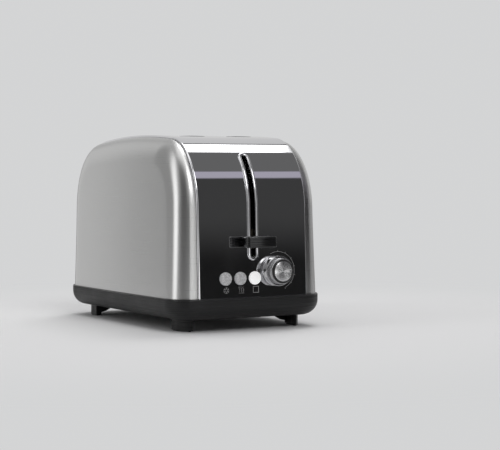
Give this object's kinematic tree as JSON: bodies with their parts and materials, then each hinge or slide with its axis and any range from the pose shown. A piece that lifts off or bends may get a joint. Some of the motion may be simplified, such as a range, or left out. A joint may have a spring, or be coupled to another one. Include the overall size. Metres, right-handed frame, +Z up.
{
  "type": "pop-up toaster",
  "caption": "Long-bodied pop-up toaster with brushed side shells, a polished wrap-around band, black base, side lever, push buttons and a browning knob.",
  "frame": {"origin": "centre of the whole object's box, on the surface that the toaster stands on", "axes": "+Z up, -Y towards the lever, buttons and knob, +X to the right seen from the lever end"},
  "size_m": [0.17, 0.3126, 0.1958],
  "materials": {
    "brushed_shell": "brushed lengthwise",
    "polished_band": "mirror polished",
    "black_base": "satin moulded",
    "pad_rubber": "matt",
    "zinc_screw": "zinc plated",
    "sheet_steel": "galvanised",
    "bright_aluminium": "bright rolled",
    "mica": "pressed mica",
    "ribbon": "oxidised",
    "steel_wire": "drawn",
    "ivory_nylon": "moulded",
    "black_gloss": "gloss moulded",
    "coil_copper": "enamelled copper",
    "board_green": "solder mask",
    "component_dark": "moulded",
    "contact_brass": "rolled",
    "knob_chrome": "mirror polished",
    "spun_steel": "spun in circles",
    "button_silver": "silver paint, satin",
    "button_white": "satin",
    "lead_brown": "insulation",
    "lead_blue": "insulation"
  },
  "bodies": {
    "housing": {"left_shell": "brushed_shell", "right_shell": "brushed_shell", "chrome_band": "polished_band", "base": "black_base", "foot_front_left": "black_base", "foot_front_right": "black_base", "foot_rear_left": "black_base", "foot_rear_right": "black_base", "foot_pads": "pad_rubber", "base_screws": "zinc_screw", "chassis_plate": "sheet_steel", "front_end_plate": "sheet_steel", "rear_end_plate": "sheet_steel", "reflector_left": "bright_aluminium", "reflector_right": "bright_aluminium", "mica_left": "mica", "mica_centre": "mica", "mica_right": "mica", "heating_ribbon_left": "ribbon", "heating_ribbon_centre": "ribbon", "heating_ribbon_right": "ribbon", "guard_left_outer": "steel_wire", "guard_left_inner": "steel_wire", "guard_right_inner": "steel_wire", "guard_right_outer": "steel_wire", "guide_rod_left": "steel_wire", "guide_rod_right": "steel_wire", "rod_bracket": "sheet_steel", "return_spring": "steel_wire", "magnet_core": "steel_wire", "magnet_coil": "coil_copper", "magnet_stand": "sheet_steel", "control_board": "board_green", "board_brackets": "sheet_steel", "board_screws": "zinc_screw", "board_components": "component_dark", "tact_switches": "component_dark", "mains_contacts": "contact_brass", "potentiometer": "component_dark", "button_guide": "component_dark", "cord_gland": "component_dark", "terminal_block": "ivory_nylon", "live_wire": "lead_brown", "neutral_wire": "lead_blue"},
    "carriage": {"carriage_slider": "ivory_nylon", "carriage_plate": "sheet_steel", "bread_rack_left": "steel_wire", "bread_rack_right": "steel_wire", "lever_arm": "steel_wire", "lever_knob": "black_gloss", "armature": "steel_wire"},
    "browning_knob": {"knob_shaft": "steel_wire", "knob_core": "black_gloss", "knob_barrel": "knob_chrome", "knob_cap": "spun_steel"},
    "defrost": {"defrost_button": "button_silver"},
    "reheat": {"reheat_button": "button_silver"},
    "cancel": {"cancel_button": "button_white"},
    "tray": {"crumb_tray": "sheet_steel", "tray_handle": "black_base"}
  },
  "joints": [
    {"name": "carriage_lift", "type": "slide", "parent": "housing", "child": "carriage", "axis": [0, 0, 1], "range_m": [0, 0.076], "deforming": ["return_spring"]},
    {"name": "browning_turn", "type": "hinge", "parent": "housing", "child": "browning_knob", "pos_m": [0.0244, -0.1342, 0.0585], "axis": [0, 1, 0], "range_deg": [-140, 140]},
    {"name": "defrost_press", "type": "slide", "parent": "housing", "child": "defrost", "axis": [0, 1, 0], "range_m": [0, 0.002], "stiffness_N_per_m": 400},
    {"name": "reheat_press", "type": "slide", "parent": "housing", "child": "reheat", "axis": [0, 1, 0], "range_m": [0, 0.002], "stiffness_N_per_m": 400},
    {"name": "cancel_press", "type": "slide", "parent": "housing", "child": "cancel", "axis": [0, 1, 0], "range_m": [0, 0.002], "stiffness_N_per_m": 400},
    {"name": "tray_slide", "type": "slide", "parent": "housing", "child": "tray", "axis": [0, 1, 0], "range_m": [0, 0.2]}
  ]
}
